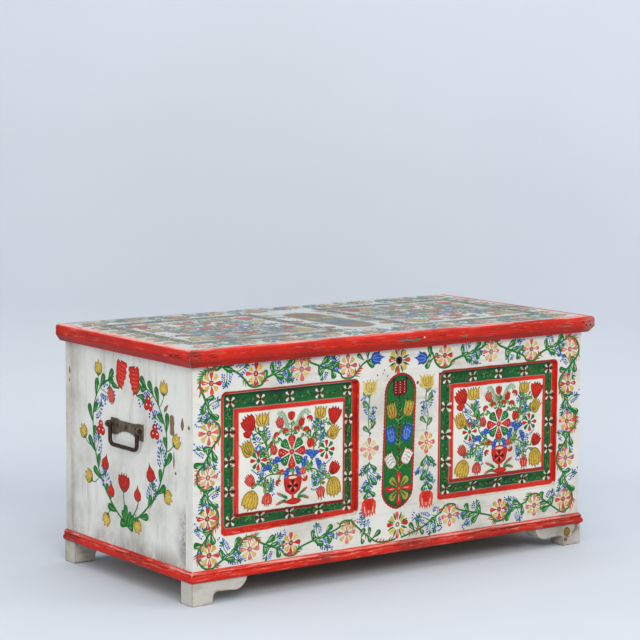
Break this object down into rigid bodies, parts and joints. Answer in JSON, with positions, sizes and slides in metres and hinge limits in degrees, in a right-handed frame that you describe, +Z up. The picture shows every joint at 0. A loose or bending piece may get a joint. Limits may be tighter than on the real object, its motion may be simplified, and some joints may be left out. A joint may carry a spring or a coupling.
{
  "type": "wedding chest",
  "caption": "Painted wooden wedding chest with a hinged lid, fielded front panels, red mouldings, bracket feet and an iron carrying handle at each end.",
  "frame": {"origin": "on the floor, in the middle of the box that the whole chest fills", "axes": "+X to the right along the painted front, +Y from the front to the back, +Z up"},
  "size_m": [1.196, 0.5935, 0.5763],
  "materials": {
    "painted_front": "white ground paint on softwood, satin, lightly worn, with brush-painted flowers",
    "painted_end": "white ground paint on softwood, worn thin to grey-brown streaks",
    "painted_foot": "white paint on softwood, chipped and dirty at the floor",
    "painted_lid": "white ground paint rubbed down to grey, with faded flowers",
    "red_moulding": "red oil paint on softwood, satin, rubbed and chipped at the edges",
    "bare_wood": "old unpainted pine, matt",
    "iron": "hand-forged iron, dark, with traces of rust and paint"
  },
  "bodies": {
    "chest": {"front_top_rail": "painted_front", "front_bottom_rail": "painted_front", "front_left_stile": "painted_front", "front_right_stile": "painted_front", "front_centre_stile": "painted_front", "front_left_panel": "painted_front", "front_right_panel": "painted_front", "left_end_board": "painted_end", "right_end_board": "painted_end", "back_upper_board": "bare_wood", "back_lower_board": "bare_wood", "back_nails": "iron", "bottom_front_board": "bare_wood", "bottom_middle_board": "bare_wood", "bottom_back_board": "bare_wood", "front_left_foot": "painted_foot", "front_right_foot": "painted_foot", "back_left_foot": "painted_foot", "back_right_foot": "painted_foot", "foot_dowels": "bare_wood", "plinth_front_moulding": "red_moulding", "plinth_left_moulding": "red_moulding", "plinth_right_moulding": "red_moulding", "lock_plate": "iron", "lock_cover": "iron", "lock_nails": "iron", "left_hinge_back_strap": "iron", "right_hinge_back_strap": "iron", "left_hinge_pin": "iron", "right_hinge_pin": "iron", "hinge_back_nails": "iron", "left_handle_plate": "iron", "left_handle_nails": "iron", "right_handle_plate": "iron", "right_handle_nails": "iron", "till_side": "bare_wood", "till_bottom": "bare_wood"},
    "left_handle": {"left_handle_bail": "iron"},
    "right_handle": {"right_handle_bail": "iron"},
    "lock_bolt": {"lock_bolt": "iron"},
    "lid": {"lid_front_board": "painted_lid", "lid_middle_board": "painted_lid", "lid_back_board": "painted_lid", "lid_front_moulding": "red_moulding", "lid_left_moulding": "red_moulding", "lid_right_moulding": "red_moulding", "lid_left_batten": "bare_wood", "lid_right_batten": "bare_wood", "batten_nails": "iron", "lid_staple": "iron", "staple_nails": "iron", "left_hinge_lid_strap": "iron", "right_hinge_lid_strap": "iron", "hinge_lid_nails": "iron"}
  },
  "joints": [
    {"name": "lid_hinge", "type": "hinge", "parent": "chest", "child": "lid", "pos_m": [0, 0.29075, 0.5508], "axis": [-1, 0, 0], "range_deg": [0, 100]},
    {"name": "left_handle_swing", "type": "hinge", "parent": "chest", "child": "left_handle", "pos_m": [-0.587, 0, 0.366], "axis": [0, 1, 0], "range_deg": [-8, 188]},
    {"name": "right_handle_swing", "type": "hinge", "parent": "chest", "child": "right_handle", "pos_m": [0.587, 0, 0.366], "axis": [0, -1, 0], "range_deg": [-8, 188]},
    {"name": "lock_bolt_slide", "type": "slide", "parent": "chest", "child": "lock_bolt", "axis": [-1, 0, 0], "range_m": [0, 0.014]}
  ]
}
